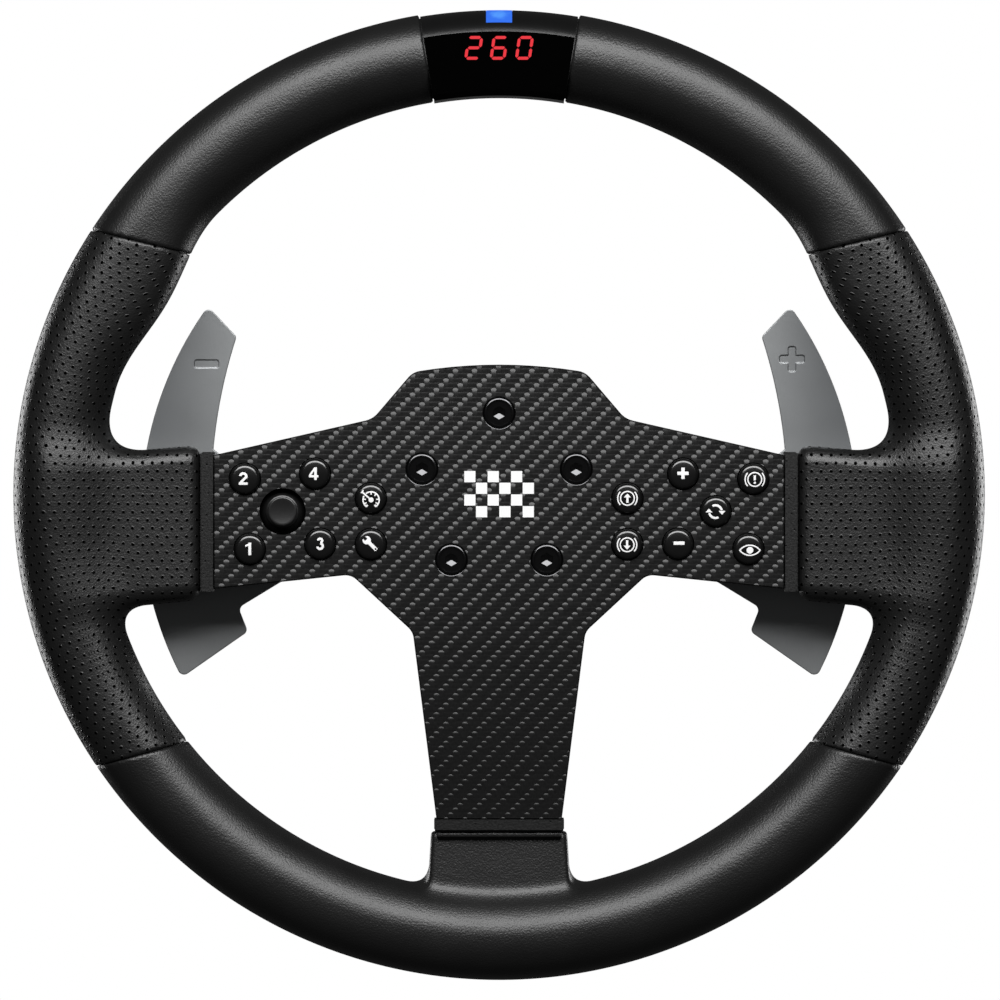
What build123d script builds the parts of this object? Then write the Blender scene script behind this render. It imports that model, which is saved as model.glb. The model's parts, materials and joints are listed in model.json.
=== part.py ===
"""Sim-racing steering wheel: a 300 mm moulded rim on a metal armature, a carbon-look
face plate with thirteen buttons and a thumb stick, a lit display pod, two shift paddles
and a pull-ring quick release on the back.

Frame, in millimetres: the wheel turns about Y, its front faces -Y, +Z is up when it is
straight, and the origin is the centre of the quick-release socket's mouth.
"""

import math
import os

from build123d import *

# ---- Rim ----
RIM_OUTER_R = 150.0
RIM_INNER_R = 122.4
RING_R = (RIM_OUTER_R + RIM_INNER_R) / 2
GRIP_RADIAL = (RIM_OUTER_R - RIM_INNER_R) / 2  # half of the grip's section, across the rim
GRIP_DEPTH = 14.5  # half of the grip's section, front to back
RIM_Y = -79.0  # middle plane of the rim
SEAM_GAP = 0.15  # half of the groove between two grips
UPPER_SEAM = ((87.4, 72.0), (164.2, 90.8))  # the right side grip's ends, as lines across the rim
LOWER_SEAM = ((89.3, -74.3), (162.4, -94.4))
BULGE_ANGLE = 60.0  # thumb rests, in degrees from the top
BULGE_INNER_R = 118.0
BULGE_LENGTH, BULGE_R = 26.0, 12.0  # half length along the rim, and radius
BOSS_HALF_DEPTH = 11.0  # the sleeves round the side spokes' ends
LOWER_BOSS_FRONT = -84.6  # the lower sleeve's flat face, behind the rim's crest
BAR_WIDTH, BAR_DEPTH = 8.0, 14.0  # the armature's ring inside the grips

# ---- Display pod ----
POD_HALF_ANGLE = 9.5  # half width, in degrees from the top
POD_FRONT = -92.6
POD_TOP_R = 149.2
POD_BEVEL_R = 142.3  # where the flat lens ends and the rounded top begins
LENS_THICKNESS = 1.7
MARKER_HALF_WIDTH = 4.0
MARKER_INNER_R = 145.2
DIGIT_HEIGHT, DIGIT_WIDTH, DIGIT_STROKE = 7.3, 4.9, 0.92
DIGIT_PITCH = 7.8
DIGIT_Z = 137.2
DIGIT_SLANT = 8.0
DIGIT_GAP = 0.16

# ---- Depths of the hub's layers, front to back ----
PLATE_FRONT, PLATE_BACK = -87.0, -84.0
WEB_FRONT, WEB_BACK = -81.7, -80.7  # the tray's floor under the button flanges
BOARD_FRONT, BOARD_BACK = -77.6, -76.0
SWITCH_FRONT = -80.2
CORE_FRONT, CORE_BACK = -74.5, -70.5  # the armature's hub and spokes
COVER_BACK = -65.5
COVER_WALL = 1.6
POD_BACK = -50.0
FLANGE_BACK = -42.0
EDGE_INSET = 1.0  # how far the tray and rear cover stay inside the plate's edge
TRIM_FRONT, TRIM_LIP = -88.2, -86.4  # the textured strips at the plate's ends
CHEQUER, CHEQUER_PROUD = 3.6, 0.15  # the emblem's squares

# ---- Hub fasteners and buttons ----
BOLT_CIRCLE_R = 25.0
BOLT_R = 2.5
BOLT_HEAD_R = 5.1
BOLT_DISH_R, BOLT_DISH = 3.9, 0.9  # the hollow in the head, round the socket
BOLT_SOCKET_R, BOLT_SOCKET_DEPTH = 1.5, 1.9
BOLT_END = -43.0
BUTTON_R = 4.7
BUTTON_HOLE_R = 5.05
BUTTON_PROUD = 2.2
BUTTON_CROWN_R = 3.35  # the gently domed middle of a button, inside its rounded shoulder
BUTTON_FLANGE, FLANGE_THICKNESS = 1.1, 1.0
STEM_R = 1.5
STEM_END = -79.8
STICK = (-66.7, -5.3)
STICK_HOLE_R = 7.15
STICK_PIVOT_Y = -79.5
STICK_CAP_R = 4.9
STICK_CAP_FRONT, STICK_CAP_BACK = -90.2, -87.6
SKIRT_R, SKIRT_WALL = 7.5, 0.9  # the stick's domed skirt, about its pivot
STICK_POST_R = 1.3
GIMBAL_HALF, GIMBAL_OPENING = 4.2, 5.2
GIMBAL_BAR = 1.4
AXLE_R = 0.6
STICK_FRAME, STICK_FRAME_OPENING = 14.0, 10.4

BUTTONS = {
    "button_one": (-76.8, -16.9),
    "button_two": (-78.3, 4.7),
    "button_three": (-55.1, -15.3),
    "button_four": (-56.7, 6.3),
    "button_cruise": (-39.5, -1.3),
    "button_wrench": (-39.5, -15.4),
    "button_brake": (78.3, 4.7),
    "button_plus": (56.7, 6.3),
    "button_minus": (55.1, -15.3),
    "button_cycle": (66.7, -5.3),
    "button_view": (76.8, -16.9),
    "button_traction_up": (39.5, -1.3),
    "button_traction_down": (39.5, -15.4),
}

# ---- Paddles ----
PIVOT_X, PIVOT_Y = 46.0, -55.5  # the right paddle's hinge pin
BLADE_FRONT, BLADE_BACK = -60.0, -57.5
BLADE_FLAT_END = 75.0  # x where the blade starts to bend towards the driver
BLADE_BEND_R = 320.0
ARM_BACK = -54.0
PIN_R = 1.5
BARREL_R = 3.2
BARREL_HALF = 12.3
PADDLE_SPRING = (60.0, -8.0)
PADDLE_SWITCH = (70.0, -8.0)
PEG_R = 1.2  # the arm's peg that works the switch
EAR_THICKNESS, EAR_R = 3.4, 3.6
ENGRAVING = 0.35

# ---- Quick release ----
SOCKET_R = 22.5
BORE_R = 17.0
BORE_DEPTH = 15.0
SOCKET_FLOOR = -32.0
BALL_R = 3.2
BALL_Y = -20.0
BALL_CENTRE_R = 19.4
BALL_ANGLES = (60.0, 180.0, 300.0)
RAMP = 0.3  # ball travel for each millimetre of ring travel
RELEASE_R = 31.0
RELEASE_FRONT, RELEASE_BACK = -31.0, -9.0
RELEASE_SKIRT = 4.0  # how far the ring's skirt reaches over its spring
FLANGE_R = 33.0
RIDGES, RIDGE_R = 24, 2.6
CONTACTS, CONTACT_R, CONTACT_CIRCLE_R = 8, 0.9, 6.0

FREE = 0.1  # clearance between moulded pieces
SLIP = 0.05  # radial clearance of a shaft in its hole


# ---- Helpers ----
def at_depth(y):
    """The XZ plane at depth y, drawn as seen from the front."""
    return Plane.XZ.offset(-y)


def slab(sketch, front, back):
    """A sketch of x and z, as a solid from depth front to depth back."""
    return extrude(at_depth(back) * sketch, amount=back - front, dir=(0, -1, 0))


def rod(x, z, radius, front, back):
    return slab(Pos(x, z) * Circle(radius), front, back)


def block(x, y, z):
    """A box between two values along each axis."""
    size = [hi - lo for lo, hi in (x, y, z)]
    middle = [(lo + hi) / 2 for lo, hi in (x, y, z)]
    return Pos(*middle) * Box(*size)


def polygon(points):
    return Polygon(*points, align=None)


def turned(profile, start=0.0, end=360.0):
    """A profile of radius and depth, turned about Y from one clock angle to another, 0 at the top."""
    return Rot(0, start - 90, 0) * revolve(profile, Axis.Y, end - start)


def clock(radius, angle):
    """The x and z of a point at a clock angle from the top."""
    a = math.radians(angle)
    return radius * math.sin(a), radius * math.cos(a)


def soften(sketch, corners):
    """Rounds the corners nearest to each (x, z), by each radius."""
    for x, z, radius in corners:
        near = min(sketch.vertices(), key=lambda v: math.hypot(v.X - x, v.Y - z))
        sketch = fillet(near, radius)
    return sketch


def both_sides(corners):
    return [c for x, z, r in corners for c in ((x, z, r), (-x, z, r))]


def mirrored(shape):
    return mirror(shape, Plane.YZ)


def group(solids):
    return Compound(children=list(solids))


def joined(shapes):
    first, *rest = list(shapes)
    for s in rest:
        first = first + s
    return first


# ---- Shared outlines ----
def bolt_points():
    return [clock(BOLT_CIRCLE_R, 72 * i) for i in range(5)]


def plate_outline(inset=0.0):
    """The face plate: a raised top, two side spokes and one lower spoke."""
    right = [(26.6, 37.6), (38.9, 23.2), (88.0, 12.0), (88.0, -29.2)]
    right += [(45.6, -24.8), (26.6, -42.4), (19.3, -100.2)]
    left = [(-x, z) for x, z in reversed(right)]
    edge = [
        ThreePointArc(left[-1], (0, 39.9), right[0]),
        Polyline(*right),
        Line(right[-1], left[0]),
        Polyline(*left),
    ]
    face = make_face(Curve() + edge)
    face = soften(face, both_sides([(26.6, 37.6, 6), (38.9, 23.2, 7), (45.6, -24.8, 5), (26.6, -42.4, 5)]))
    return offset(face, amount=-inset) if inset else face


def pod_outline(inset=0.0):
    """The thick middle of the rear cover."""
    right = [(24, 33), (38, 18), (38, -18), (26, -34)]
    face = polygon(right + [(-x, z) for x, z in reversed(right)])
    face = soften(face, both_sides([(x, z, 7) for x, z in right]))
    return offset(face, amount=-inset) if inset else face


# ---- Rim ----
def oval():
    return Pos(RING_R, RIM_Y) * Ellipse(GRIP_RADIAL, GRIP_DEPTH)


def thumb_bulge():
    """The swelling that the thumb hooks over, as an egg set along the right side of the rim."""
    half = Ellipse(BULGE_LENGTH, BULGE_R) & Pos(0, BULGE_R) * Rectangle(3 * BULGE_LENGTH, 2 * BULGE_R)
    x, z = clock(BULGE_INNER_R + BULGE_R, BULGE_ANGLE)
    return Pos(x, RIM_Y, z) * Rot(0, BULGE_ANGLE, 0) * revolve(half, Axis.X)


def boss_wall():
    """The radius where the grip's inner side is as deep as a boss."""
    return RING_R - GRIP_RADIAL * math.sqrt(1 - (BOSS_HALF_DEPTH / GRIP_DEPTH) ** 2)


def boss(sleeve, window, corners, front=RIM_Y - BOSS_HALF_DEPTH):
    """A sleeve round a spoke's end, with a fillet into the rim's inner edge."""
    band = (Circle(RING_R + 7) - Circle(boss_wall() + 0.6)) & window
    outline = soften(band + sleeve, corners) & window
    return slab(outline, front, RIM_Y + BOSS_HALF_DEPTH)


def side_boss():
    sleeve = polygon([(92.2, 14.7), (92.2, -32.8), (108, -34.2), (132, -35), (132, 13), (107, 13.4)])
    window = Pos(117, -8.5) * Rectangle(52, 83)
    corners = [(125.6, 13.2, 14), (122.4, -34.6, 9), (92.2, 14.7, 2.5), (92.2, -32.8, 2.5)]
    return boss(sleeve, window, corners)


def lower_boss():
    left = [(-21, -104.2), (-22.4, -130)]
    sleeve = polygon(left + [(-x, z) for x, z in reversed(left)])
    window = Pos(0, -122) * Rectangle(70, 38)
    return boss(sleeve, window, both_sides([(22.2, -125, 8), (21, -104.2, 2)]), LOWER_BOSS_FRONT)


def armature(grow=0.0):
    """The metal skeleton: a ring of bar, a hub disc and three flat spokes. grow makes the room it needs."""
    bar = Pos(RING_R, RIM_Y + 1) * Rectangle(BAR_WIDTH + 2 * grow, BAR_DEPTH + 2 * grow)
    core = revolve(bar, Axis.Y, 360)
    spokes = Pos(0, -8) * Rectangle(2 * (RING_R - 2), 32 + 2 * grow)
    spokes += Pos(0, -RING_R / 2) * Rectangle(28 + 2 * grow, RING_R - 4)
    spokes += Circle(33 + grow)
    if not grow:
        holes = [Pos(x, z) * Circle(BOLT_R + 0.25) for x, z in bolt_points()]
        holes += [Circle(8), Pos(0, -74) * SlotOverall(30, 10, rotation=90)]
        holes += [Pos(s * 62, -8) * SlotOverall(32, 12) for s in (1, -1)]
        spokes -= Sketch() + holes
    return core + slab(spokes, CORE_FRONT - grow, CORE_BACK + grow)


def region(points):
    return slab(polygon(points), RIM_Y - 30, RIM_Y + 30)


def shifted(seam, dz):
    return [(x, z + dz) for x, z in seam]


def upper_grip():
    """The right upper grip, from the display pod to the side grip."""
    start = POD_HALF_ANGLE + math.degrees(SEAM_GAP / RING_R)
    ring = turned(oval(), start, 75)
    low_in, low_out = shifted(UPPER_SEAM, SEAM_GAP)
    return (ring & region([low_in, low_out, (170, 170), (0, 170), (0, 110)])) - armature(FREE)


def side_grip():
    """The right side grip: a thumb rest above and the sleeve round the spoke's end."""
    ring = turned(oval(), 40, 140)
    top, bottom = shifted(UPPER_SEAM, -SEAM_GAP), shifted(LOWER_SEAM, SEAM_GAP)
    return ((ring + thumb_bulge() + side_boss()) & region(top + bottom[::-1])) - armature(FREE)


def lower_grip():
    ring = turned(oval(), 110, 250)
    inner, outer = shifted(LOWER_SEAM, -SEAM_GAP)
    right = [inner, outer, (outer[0], -180)]
    return ((ring + lower_boss()) & region(right + [(-x, z) for x, z in right[::-1]])) - armature(FREE)


# ---- Display pod ----
def pod_section():
    """The pod's section across the rim: a flat front for the lens, and a top that is round like the grips."""
    back = [(POD_TOP_R, -84.6), (POD_TOP_R, -71.5), (142.5, -65.2), (129, -65.2), (122.6, -71), (122.6, -90.4)]
    edge = [
        Polyline((122.6, -90.4), (124.4, POD_FRONT), (POD_BEVEL_R, POD_FRONT)),
        ThreePointArc((POD_BEVEL_R, POD_FRONT), (146.4, -89.8), (POD_TOP_R, -84.6)),
        Polyline(*back),
    ]
    return make_face(Curve() + edge)


def pod_slice(section, half_angle=POD_HALF_ANGLE - 0.1):
    return turned(section, -half_angle, half_angle)


def lens_section():
    back = POD_FRONT + LENS_THICKNESS
    front = [(122.6, -90.4), (124.4, POD_FRONT), (POD_BEVEL_R, POD_FRONT)]
    return polygon(front + [(POD_BEVEL_R - 0.7, back), (125.1, back), (123.8, back + 1.3)])


def segment(u, v, length, upright, x):
    """One slanted bar of a digit: a long hexagon centred at (u, v) from the digit's middle at x."""
    half, tip = length / 2 - DIGIT_GAP, DIGIT_STROKE / 2
    shape = [(-half, 0), (-half + tip, tip), (half - tip, tip)]
    shape += [(half, 0), (half - tip, -tip), (-half + tip, -tip)]
    points = [(u + b, v + a) if upright else (u + a, v + b) for a, b in shape]
    lean = math.tan(math.radians(DIGIT_SLANT))
    return polygon([(x + a + b * lean, DIGIT_Z + b) for a, b in points])


def digit_segments(lit, x):
    """The lit bars of one digit, named a to g as on any seven-segment display."""
    w, h = (DIGIT_WIDTH - DIGIT_STROKE) / 2, (DIGIT_HEIGHT - DIGIT_STROKE) / 2
    bars = {
        "a": (0, h, 2 * w, False),
        "b": (w, h / 2, h, True),
        "c": (w, -h / 2, h, True),
        "d": (0, -h, 2 * w, False),
        "e": (-w, -h / 2, h, True),
        "f": (-w, h / 2, h, True),
        "g": (0, 0, 2 * w, False),
    }
    return [segment(*bars[name], x) for name in lit]


def display_digits():
    """Light guides that show 260 through the front of the pod."""
    faces = []
    for i, lit in enumerate(("abged", "afgecd", "abcdef")):
        faces += digit_segments(lit, DIGIT_PITCH * (i - 1))
    return group(slab(face, POD_FRONT, POD_FRONT + LENS_THICKNESS) for face in faces)


def marker_light(grow=0.0):
    """The blue centre marker that wraps over the pod's top edge. grow makes the slot it sits in."""
    half, low = MARKER_HALF_WIDTH + grow, MARKER_INNER_R - grow
    back = -79 + grow
    section = polygon([(low, -95), (152, -95), (152, back), (146.4, back), (146.4, -84), (low, -85.5)])
    outside = turned(section, -3, 3) & block((-half, half), (-100, -60), (130, 160))
    return outside if grow else outside & pod_slice(pod_section())


def display_lens():
    lens = pod_slice(lens_section())
    for bar in display_digits().solids():
        lens -= bar
    return lens


def display_housing():
    shell = pod_slice(pod_section()) - pod_slice(lens_section()) - marker_light(FREE)
    room = pod_slice(polygon([(126.5, -90.9), (140.3, -90.9), (140.3, -86.6), (126.5, -86.6)]), 7.8)
    return shell - room - armature(FREE)


def display_board():
    board = block((-15.5, 15.5), (-88.3, -86.8), (130.5, 138.9))
    return board & pod_slice(polygon([(127, -89), (140.1, -89), (140.1, -86), (127, -86)]), 7.5)


# ---- Face of the hub ----
def button_holes():
    return [Pos(x, z) * Circle(BUTTON_HOLE_R) for x, z in BUTTONS.values()]


def face_plate():
    plate = slab(plate_outline(), PLATE_FRONT, PLATE_BACK)
    plate = chamfer(plate.faces().sort_by(Axis.Y)[0].outer_wire().edges(), 0.4)
    holes = button_holes() + [Pos(*STICK) * Circle(STICK_HOLE_R)]
    plate -= slab(Sketch() + holes, PLATE_FRONT, PLATE_BACK)
    for x, z in bolt_points():
        plate -= bolt(x, z, FREE / 2)
    return plate


def bolt(x, z, grow=0.0):
    """An M5 countersunk screw with a dished head, flush with the plate. grow makes the hole it needs."""
    head, shank, end = BOLT_HEAD_R + grow, BOLT_R + grow, BOLT_END + grow
    seat = PLATE_FRONT + 0.3
    side = [(head, PLATE_FRONT), (head, seat), (shank, seat + head - shank), (shank, end), (0, end)]
    if grow:
        return Pos(x, 0, z) * turned(polygon([(0, PLATE_FRONT)] + side))
    floor = PLATE_FRONT + BOLT_DISH
    dish = [(0, floor), (BOLT_SOCKET_R + 0.5, floor), (BOLT_DISH_R, PLATE_FRONT)]
    socket = Pos(x, z) * RegularPolygon(BOLT_SOCKET_R, 6, major_radius=False)
    return Pos(x, 0, z) * turned(polygon(dish + side)) - slab(socket, PLATE_FRONT, floor + BOLT_SOCKET_DEPTH)


def hub_bolts():
    return group(bolt(x, z) for x, z in bolt_points())


def emblem():
    """A plain chequer of raised white squares in the middle of the plate."""
    columns, rows = 6, 4
    square = Rectangle(CHEQUER - 0.15, CHEQUER - 0.15)
    left, low = -CHEQUER * (columns - 1) / 2, -CHEQUER * (rows - 1) / 2
    cells = [(c, r) for c in range(columns) for r in range(rows) if (c + r) % 2]
    squares = [Pos(left + c * CHEQUER, low + r * CHEQUER) * square for c, r in cells]
    return group(slab(s, PLATE_FRONT - CHEQUER_PROUD, PLATE_FRONT) for s in squares)


def side_trim():
    """The right textured strip between the plate's end and the side sleeve, and its low lip against the sleeve."""
    back = RIM_Y + BOSS_HALF_DEPTH - 0.5
    outline = soften(Pos(89.9, -8.5) * Rectangle(3.6, 43), [(91.7, 13, 0.8), (91.7, -30, 0.8)])
    strip = slab(outline, TRIM_FRONT, back)
    lip = block((91.5, 92.1), (TRIM_LIP, back), (-30, 12.6))
    return strip + lip - armature(FREE)


def lower_trim():
    """The strip below the plate, and its narrow lip against the lower sleeve."""
    back = RIM_Y + BOSS_HALF_DEPTH - 0.5
    outline = soften(Pos(0, -101.8) * Rectangle(40, 3.2), both_sides([(20, -103.4, 0.6)]))
    strip = slab(outline, TRIM_FRONT, back)
    lip = block((-19.8, 19.8), (TRIM_LIP, back), (-104.1, -103.3))
    return strip + lip - armature(FREE)


def bolt_bosses(front, back, radius=5.0):
    return [rod(x, z, radius, front, back) for x, z in bolt_points()]


def bolt_clearances(front, back):
    return slab(Sketch() + [Pos(x, z) * Circle(BOLT_R + FREE) for x, z in bolt_points()], front, back)


def button_tray():
    """The plastic tray behind the plate: side walls, and a web that the button stems pass through."""
    walls = plate_outline(EDGE_INSET) - plate_outline(EDGE_INSET + COVER_WALL)
    tray = slab(walls, PLATE_BACK, CORE_FRONT) + slab(plate_outline(EDGE_INSET + 0.5), WEB_FRONT, WEB_BACK)
    tray = joined([tray] + bolt_bosses(PLATE_BACK, CORE_FRONT))
    holes = [Pos(x, z) * Circle(STEM_R + 0.6) for x, z in BUTTONS.values()]
    holes += [Pos(*STICK) * Circle(SKIRT_R + 1.2), Pos(0, -55) * SlotOverall(40, 14, rotation=90)]
    return tray - slab(Sketch() + holes, WEB_FRONT, WEB_BACK) - bolt_clearances(PLATE_BACK, CORE_FRONT)


def button_board():
    """The right circuit board under the buttons."""
    outline = soften(Pos(58.2, -5.4) * Rectangle(51, 31), [(83.7, 10.1, 2), (83.7, -20.9, 2)])
    return slab(outline, BOARD_FRONT, BOARD_BACK)


def tact_switches():
    """One switch behind each button, open in front for the button's stem."""
    body = RectangleRounded(6, 6, 0.8)
    switches = []
    for x, z in BUTTONS.values():
        well = rod(x, z, STEM_R + 0.35, SWITCH_FRONT, BOARD_FRONT - 0.5)
        switches.append(slab(Pos(x, z) * body, SWITCH_FRONT, BOARD_FRONT) - well)
    return group(switches)


def button(x, z):
    """A domed cap with the flange that keeps it in, and the stem that works its switch."""
    front = PLATE_FRONT - BUTTON_PROUD
    crown, shoulder = (BUTTON_CROWN_R, front + 0.2), (BUTTON_R - 0.25, front + 1.25)
    edge = [
        ThreePointArc((0, front), (BUTTON_CROWN_R / 2, front + 0.05), crown),
        ThreePointArc(crown, (4.12, front + 0.56), shoulder),
        Polyline(
            shoulder,
            (BUTTON_R, PLATE_FRONT),
            (BUTTON_R, PLATE_BACK + FREE),
            (BUTTON_R + BUTTON_FLANGE, PLATE_BACK + FREE),
            (BUTTON_R + BUTTON_FLANGE, PLATE_BACK + FREE + FLANGE_THICKNESS),
            (STEM_R, PLATE_BACK + FREE + FLANGE_THICKNESS),
            (STEM_R, STEM_END),
            (0, STEM_END),
            (0, front),
        ),
    ]
    return Pos(x, 0, z) * turned(make_face(Curve() + edge))


# ---- Thumb stick ----
def cross_rod(axis, length, radius=AXLE_R):
    """A rod through the stick's pivot, along X or Z."""
    turn = Rot(0, 90, 0) if axis == "x" else Rot(0, 0, 0)
    return Pos(STICK[0], STICK_PIVOT_Y, STICK[1]) * turn * Cylinder(radius, length)


def stick_base():
    """The square frame on the board that the gimbal hangs in."""
    room = RectangleRounded(STICK_FRAME_OPENING, STICK_FRAME_OPENING, 0.5)
    frame = Pos(*STICK) * (RectangleRounded(STICK_FRAME, STICK_FRAME, 1) - room)
    return slab(frame, WEB_BACK + FREE, BOARD_FRONT) - cross_rod("x", 20, AXLE_R + SLIP)


def stick_gimbal():
    """A small frame that tips up and down, with the axles of that motion."""
    room = Rectangle(GIMBAL_OPENING, GIMBAL_OPENING)
    frame = Pos(*STICK) * (Rectangle(2 * GIMBAL_HALF, 2 * GIMBAL_HALF) - room)
    body = slab(frame, STICK_PIVOT_Y - GIMBAL_BAR / 2, STICK_PIVOT_Y + GIMBAL_BAR / 2)
    middle = Pos(STICK[0], STICK_PIVOT_Y, STICK[1]) * Box(GIMBAL_OPENING, 5, GIMBAL_OPENING)
    axles = cross_rod("x", 13) - middle
    return body + axles - cross_rod("z", 20, AXLE_R + SLIP)


def stick_shaft():
    """The post that tips left and right in the gimbal, with its cross axle."""
    post = rod(*STICK, STICK_POST_R, -85.0, STICK_PIVOT_Y + 0.9)
    return post + cross_rod("z", 8.2)


def stick_cap():
    """The dished cap and its domed skirt, which also press down on the post."""
    x, z = STICK
    front, rim, y0 = STICK_CAP_FRONT, STICK_CAP_BACK, STICK_PIVOT_Y
    edge = [
        ThreePointArc((0, front + 0.32), (2, front + 0.24), (3.85, front)),
        ThreePointArc((3.85, front), (4.6, front + 0.28), (STICK_CAP_R, front + 1)),
        Polyline((STICK_CAP_R, front + 1), (STICK_CAP_R, rim), (0, rim), (0, front + 0.32)),
    ]
    cap = turned(make_face(Curve() + edge))
    skirt = polygon([(0, y0 - 9), (9, y0 - 9), (9, y0 - 3.0), (0, y0 - 3.0)])
    shell = Pos(0, y0) * (Circle(SKIRT_R) - Circle(SKIRT_R - SKIRT_WALL)) & skirt
    neck = polygon([(0, rim), (3.4, rim), (2.8, y0 - SKIRT_R + 1.2), (0, y0 - SKIRT_R + 1.2)])
    sleeve = polygon([(0, y0 - SKIRT_R + 0.8), (2.2, y0 - SKIRT_R + 0.8), (2.2, y0 - 3.4), (0, y0 - 3.4)])
    bore = STICK_POST_R + SLIP
    well = polygon([(0, -85.8), (bore, -85.8), (bore, y0), (0, y0)])
    return Pos(x, 0, z) * (cap + turned(shell) + turned(neck) + turned(sleeve) - turned(well))


# ---- Back of the hub ----
def cover_screw_points():
    side = [(s * 80.5, z) for s in (1, -1) for z in (4, -20)]
    return side + [(0, -55), (0, -94)]


def cover_screw(x, z, grow=0.0):
    outline = [(0, COVER_BACK), (2.8 + grow, COVER_BACK), (1.5 + grow, COVER_BACK - 1.3)]
    outline += [(1.5 + grow, CORE_FRONT + 1), (0, CORE_FRONT + 1)]
    screw = Pos(x, 0, z) * turned(polygon(outline))
    if grow:
        return screw
    return screw - slab(Pos(x, z) * RegularPolygon(1.0, 6, major_radius=False), COVER_BACK - 1, COVER_BACK)


def housing_screws():
    return group(cover_screw(x, z) for x, z in cover_screw_points())


def hinge_ears():
    """The right pair of lugs for the paddle's hinge pin."""
    web = Pos(PIVOT_X, (PIVOT_Y + COVER_BACK) / 2) * Rectangle(2 * EAR_R, PIVOT_Y - COVER_BACK)
    lug = extrude(Pos(PIVOT_X, PIVOT_Y) * Circle(EAR_R) + web, amount=EAR_THICKNESS)
    upper = BARREL_HALF + 0.35
    return [Pos(0, 0, upper) * lug, Pos(0, 0, -upper - EAR_THICKNESS) * lug]


def pin(x, radius, half):
    return Pos(x, PIVOT_Y, 0) * Cylinder(radius, 2 * half)


def rear_housing():
    """The rear cover: shallow over the spokes, deep in the middle, with the paddle lugs and bolt bosses."""
    walls = plate_outline(EDGE_INSET) - plate_outline(EDGE_INSET + COVER_WALL)
    cover = slab(walls, CORE_FRONT, COVER_BACK)
    floor = plate_outline(EDGE_INSET) - pod_outline(2)
    cover += slab(floor, COVER_BACK - COVER_WALL, COVER_BACK)
    cover += slab(pod_outline() - pod_outline(2), COVER_BACK - COVER_WALL, POD_BACK)
    cover += slab(pod_outline() - Circle(13), POD_BACK - 2, POD_BACK)
    cover = joined([cover] + bolt_bosses(CORE_BACK, POD_BACK))
    cover -= bolt_clearances(CORE_BACK, POD_BACK)
    for x, z in cover_screw_points():
        cover += rod(x, z, 3.4, CORE_BACK, COVER_BACK)
        cover -= cover_screw(x, z, SLIP)
    ears = hinge_ears()
    for ear in ears + [mirrored(e) for e in ears]:
        cover += ear
    for side in (1, -1):
        cover -= pin(side * PIVOT_X, PIN_R, BARREL_HALF + 6)
    return cover - armature(FREE)


def tapped_armature():
    """The armature with the holes that the cover's screws hold in."""
    core = armature()
    for x, z in cover_screw_points():
        core -= rod(x, z, 1.5, CORE_FRONT, CORE_BACK)
    return core


def main_board():
    outline = RectangleRounded(64, 40, 3) - (Sketch() + [Pos(x, z) * Circle(5.6) for x, z in bolt_points()])
    outline -= Circle(13)
    return slab(outline, -62.4, -60.8)


# ---- Paddles ----
def blade_outline():
    """The right paddle: a tall upper finger, a short lower one, and the neck to its hinge."""
    outer = ThreePointArc((90.5, 58.4), (111.3, -5.7), (98.6, -57))
    lower = [(98.6, -57), (78.1, -42.7), (81, -35.3), (68, -27.4), (51, -20.5)]
    upper = [(51, -20.5), (51, 6), (81, 8), (88.8, 14)]
    inner = ThreePointArc((88.8, 14), (86.9, 28), (81.6, 49))
    tip = Line((81.6, 49), (90.5, 58.4))
    face = make_face(Curve() + [outer, Polyline(*lower), Polyline(*upper), inner, tip])
    corners = [(90.5, 58.4, 1.9), (81.6, 49, 1.6), (98.6, -57, 2), (78.1, -42.7, 1.8), (81, -35.3, 2)]
    return soften(face, corners + [(51, -20.5, 3), (51, 6, 3), (81, 8, 5)])


def blade_sheet(front, back):
    """The bent sheet that the blade is cut from, between two depths at its flat root."""
    bend = math.degrees(math.asin((115 - BLADE_FLAT_END) / BLADE_BEND_R))
    outer, inner = BLADE_BEND_R + back - BLADE_FRONT, BLADE_BEND_R + front - BLADE_FRONT
    centre = (BLADE_FLAT_END, BLADE_FRONT - BLADE_BEND_R)
    flat = Pos((45 + BLADE_FLAT_END) / 2, (front + back) / 2) * Rectangle(BLADE_FLAT_END - 45, back - front)
    half, a = math.radians(bend) / 2, math.radians(bend)

    def on(radius, angle):
        return centre[0] + radius * math.sin(angle), centre[1] + radius * math.cos(angle)

    curve = [
        ThreePointArc(on(outer, 0), on(outer, half), on(outer, a)),
        Line(on(outer, a), on(inner, a)),
        ThreePointArc(on(inner, a), on(inner, half), on(inner, 0)),
        Line(on(inner, 0), on(outer, 0)),
    ]
    return Pos(0, 0, -80) * extrude(flat + make_face(Curve() + curve), amount=160)


def paddle_screw_points():
    return [(54.5, 0.0), (54.5, -15.5), (77.0, -8.0)]


def paddle_screw(x, z, grow=0.0):
    """A small countersunk screw from the front of the blade into the arm."""
    outline = [(0, BLADE_FRONT), (2.6 + grow, BLADE_FRONT), (1.25 + grow, BLADE_FRONT + 1.35)]
    outline += [(1.25 + grow, ARM_BACK - 0.6), (0, ARM_BACK - 0.6)]
    screw = Pos(x, 0, z) * turned(polygon(outline))
    if grow:
        return screw
    socket = Pos(x, z) * RegularPolygon(0.8, 6, major_radius=False)
    return screw - slab(socket, BLADE_FRONT, BLADE_FRONT + 0.9)


def paddle_screws():
    return group(paddle_screw(x, z) for x, z in paddle_screw_points())


def paddle_marks(kind):
    """The engraved plus on the right blade, or the minus on the left one."""
    if kind == "plus":
        return Pos(91.0, 42.0) * (RectangleRounded(7.8, 2.4, 0.7) + RectangleRounded(2.4, 7.8, 0.7))
    return Pos(90.9, 40.5) * RectangleRounded(7.6, 2.5, 0.7)


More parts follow.
